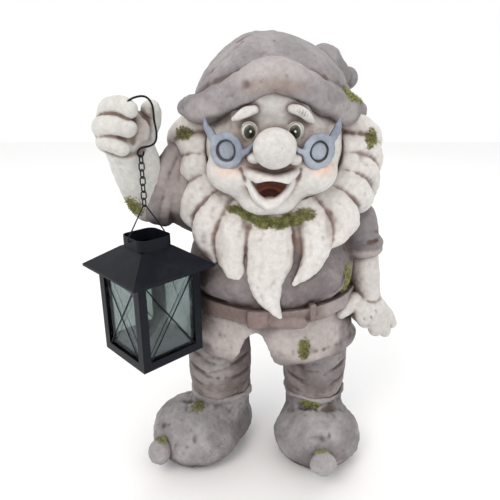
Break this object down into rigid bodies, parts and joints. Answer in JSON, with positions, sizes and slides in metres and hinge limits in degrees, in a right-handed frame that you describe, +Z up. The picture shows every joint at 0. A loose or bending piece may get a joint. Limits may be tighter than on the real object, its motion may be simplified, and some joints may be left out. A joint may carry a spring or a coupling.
{
  "type": "garden gnome with hanging lantern",
  "caption": "Garden gnome of weathered cast stone with ball nose, floppy hat and long beard, holding up a square black tealight lantern on a chain.",
  "frame": {"origin": "bottom centre of the whole object's bounding box, on the ground", "axes": "+Z up, the gnome faces -Y, +X is to the viewer's right (the gnome's left side)"},
  "size_m": [0.3536, 0.2326, 0.5],
  "materials": {
    "coat_casting": "matt limewashed cast stone, dirt in the creases",
    "belt_casting": "matt brown wash over cast stone",
    "skin_casting": "matt limewashed cast stone",
    "eye_paint": "painted eyes, semi gloss",
    "spectacle_casting": "blue-grey wash over cast stone",
    "hat_casting": "mauve-grey wash over cast stone, moss",
    "hair_casting": "matt white limewash",
    "trouser_casting": "brown-grey wash over cast stone",
    "boot_casting": "grey-mauve wash over cast stone",
    "toe_ball_casting": "light blue-grey wash over cast stone",
    "black_sheet": "satin black powder coat",
    "black_wire": "black coated wire",
    "pane_glass": "clear float glass"
  },
  "bodies": {
    "figure": {"coat": "coat_casting", "belt": "belt_casting", "head": "skin_casting", "eyes": "eye_paint", "spectacles": "spectacle_casting", "hat": "hat_casting", "hat_bobble": "hat_casting", "beard_and_hair": "hair_casting", "right_arm": "skin_casting", "left_arm": "skin_casting", "right_trouser_leg": "trouser_casting", "right_boot": "boot_casting", "right_toe_ball": "toe_ball_casting", "left_trouser_leg": "trouser_casting", "left_boot": "boot_casting", "left_toe_ball": "toe_ball_casting"},
    "hook": {"hook": "black_wire"},
    "chain_link_1": {"chain_link_1": "black_wire"},
    "chain_link_2": {"chain_link_2": "black_wire"},
    "chain_link_3": {"chain_link_3": "black_wire"},
    "chain_link_4": {"chain_link_4": "black_wire"},
    "chain_link_5": {"chain_link_5": "black_wire"},
    "chain_link_6": {"chain_link_6": "black_wire"},
    "chain_link_7": {"chain_link_7": "black_wire"},
    "bail": {"bail": "black_sheet"},
    "lantern": {"lantern_base": "black_sheet", "lantern_posts": "black_sheet", "lantern_top_frame": "black_sheet", "lantern_roof": "black_sheet", "lantern_collar": "black_sheet", "candle_cup": "black_sheet", "door_hinge_pins": "black_sheet", "latch_rivet": "black_sheet", "glass_front_left": "pane_glass", "cross_front_left": "black_sheet", "glass_front_right": "pane_glass", "cross_front_right": "black_sheet", "glass_inner": "pane_glass", "cross_inner": "black_sheet"},
    "door": {"door_frame": "black_sheet", "door_glass": "pane_glass", "door_cross": "black_sheet"},
    "latch": {"door_latch": "black_sheet"}
  },
  "joints": [
    {"name": "hook_swing", "type": "hinge", "parent": "figure", "child": "hook", "pos_m": [-0.10771, -0.04811, 0.433], "axis": [-0.6972, 0.7169, 0], "range_deg": [0, 8]},
    {"name": "chain_link_1_swing", "type": "hinge", "parent": "hook", "child": "chain_link_1", "pos_m": [-0.10771, -0.04811, 0.383], "axis": [-0.7169, -0.6972, 0], "range_deg": [0, 3]},
    {"name": "chain_link_2_swing", "type": "hinge", "parent": "chain_link_1", "child": "chain_link_2", "pos_m": [-0.10771, -0.04811, 0.37625], "axis": [-0.6972, 0.7169, 0], "range_deg": [0, 8]},
    {"name": "chain_link_3_swing", "type": "hinge", "parent": "chain_link_2", "child": "chain_link_3", "pos_m": [-0.10771, -0.04811, 0.36915], "axis": [-0.7169, -0.6972, 0], "range_deg": [0, 3]},
    {"name": "chain_link_4_swing", "type": "hinge", "parent": "chain_link_3", "child": "chain_link_4", "pos_m": [-0.10771, -0.04811, 0.36205], "axis": [-0.6972, 0.7169, 0], "range_deg": [0, 8]},
    {"name": "chain_link_5_swing", "type": "hinge", "parent": "chain_link_4", "child": "chain_link_5", "pos_m": [-0.10771, -0.04811, 0.35495], "axis": [-0.7169, -0.6972, 0], "range_deg": [0, 3]},
    {"name": "chain_link_6_swing", "type": "hinge", "parent": "chain_link_5", "child": "chain_link_6", "pos_m": [-0.10771, -0.04811, 0.34785], "axis": [-0.6972, 0.7169, 0], "range_deg": [0, 8]},
    {"name": "chain_link_7_swing", "type": "hinge", "parent": "chain_link_6", "child": "chain_link_7", "pos_m": [-0.10771, -0.04811, 0.34075], "axis": [-0.7169, -0.6972, 0], "range_deg": [0, 3]},
    {"name": "bail_swing", "type": "hinge", "parent": "chain_link_7", "child": "bail", "pos_m": [-0.10771, -0.04811, 0.33365], "axis": [-0.6972, 0.7169, 0], "range_deg": [0, 8]},
    {"name": "lantern_swing", "type": "hinge", "parent": "bail", "child": "lantern", "pos_m": [-0.10771, -0.04811, 0.3013], "axis": [-0.7169, -0.6972, 0], "range_deg": [-3, 3]},
    {"name": "door_hinge", "type": "hinge", "parent": "lantern", "child": "door", "pos_m": [-0.15862, -0.0428, 0.223], "axis": [0, 0, 1], "range_deg": [0, 110]},
    {"name": "latch_turn", "type": "hinge", "parent": "lantern", "child": "latch", "pos_m": [-0.11059, 0.00391, 0.223], "axis": [0.6972, -0.7169, 0], "range_deg": [0, 90]}
  ]
}
